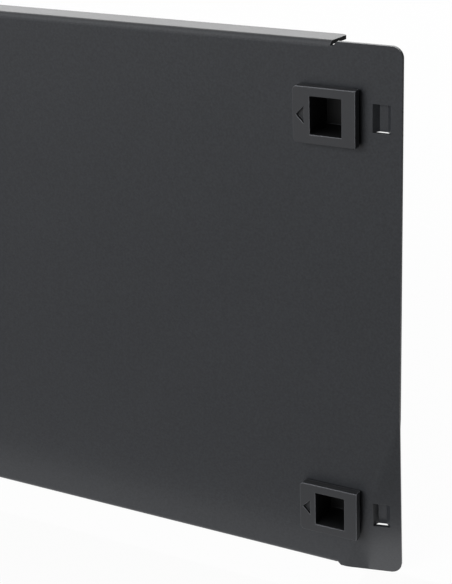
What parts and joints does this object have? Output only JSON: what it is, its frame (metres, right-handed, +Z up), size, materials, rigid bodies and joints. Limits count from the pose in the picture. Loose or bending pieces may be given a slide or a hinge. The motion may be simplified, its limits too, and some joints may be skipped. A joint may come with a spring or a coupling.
{
  "type": "rack blanking panel",
  "caption": "Dark grey sheet-steel blanking panel for a 19 inch rack, with flanged edges, flat ears, pushed-back locating lances and sprung plastic slide latches.",
  "frame": {"origin": "middle of the panel on the plane of the rack's rails, which the ears' rear faces lie on", "axes": "+Z up, +X to the right as seen from the front, and the front faces -Y"},
  "size_m": [0.4801, 0.0131, 0.177],
  "materials": {
    "powder_coat": "fine texture, semi-matt",
    "latch_plastic": "satin",
    "guide_plastic": "matt",
    "zinc_plate": "zinc plated",
    "spring_wire": "polished"
  },
  "bodies": {
    "sheet": {"panel": "powder_coat", "weld_studs": "zinc_plate", "stud_nuts": "zinc_plate", "upper_right_guide": "guide_plastic", "upper_right_spring": "spring_wire", "upper_left_guide": "guide_plastic", "upper_left_spring": "spring_wire", "lower_right_guide": "guide_plastic", "lower_right_spring": "spring_wire", "lower_left_guide": "guide_plastic", "lower_left_spring": "spring_wire"},
    "upper_right_latch": {"upper_right_button": "latch_plastic", "upper_right_bolt": "zinc_plate", "upper_right_retainer": "guide_plastic"},
    "upper_left_latch": {"upper_left_button": "latch_plastic", "upper_left_bolt": "zinc_plate", "upper_left_retainer": "guide_plastic"},
    "lower_right_latch": {"lower_right_button": "latch_plastic", "lower_right_bolt": "zinc_plate", "lower_right_retainer": "guide_plastic"},
    "lower_left_latch": {"lower_left_button": "latch_plastic", "lower_left_bolt": "zinc_plate", "lower_left_retainer": "guide_plastic"}
  },
  "joints": [
    {"name": "upper_right_slide", "type": "slide", "parent": "sheet", "child": "upper_right_latch", "axis": [-1, 0, 0], "range_m": [0, 0.0034], "stiffness_N_per_m": 500, "springref_m": -0.004, "deforming": ["upper_right_spring"]},
    {"name": "upper_left_slide", "type": "slide", "parent": "sheet", "child": "upper_left_latch", "axis": [1, 0, 0], "range_m": [0, 0.0034], "stiffness_N_per_m": 500, "springref_m": -0.004, "deforming": ["upper_left_spring"]},
    {"name": "lower_right_slide", "type": "slide", "parent": "sheet", "child": "lower_right_latch", "axis": [-1, 0, 0], "range_m": [0, 0.0034], "stiffness_N_per_m": 500, "springref_m": -0.004, "deforming": ["lower_right_spring"]},
    {"name": "lower_left_slide", "type": "slide", "parent": "sheet", "child": "lower_left_latch", "axis": [1, 0, 0], "range_m": [0, 0.0034], "stiffness_N_per_m": 500, "springref_m": -0.004, "deforming": ["lower_left_spring"]}
  ]
}
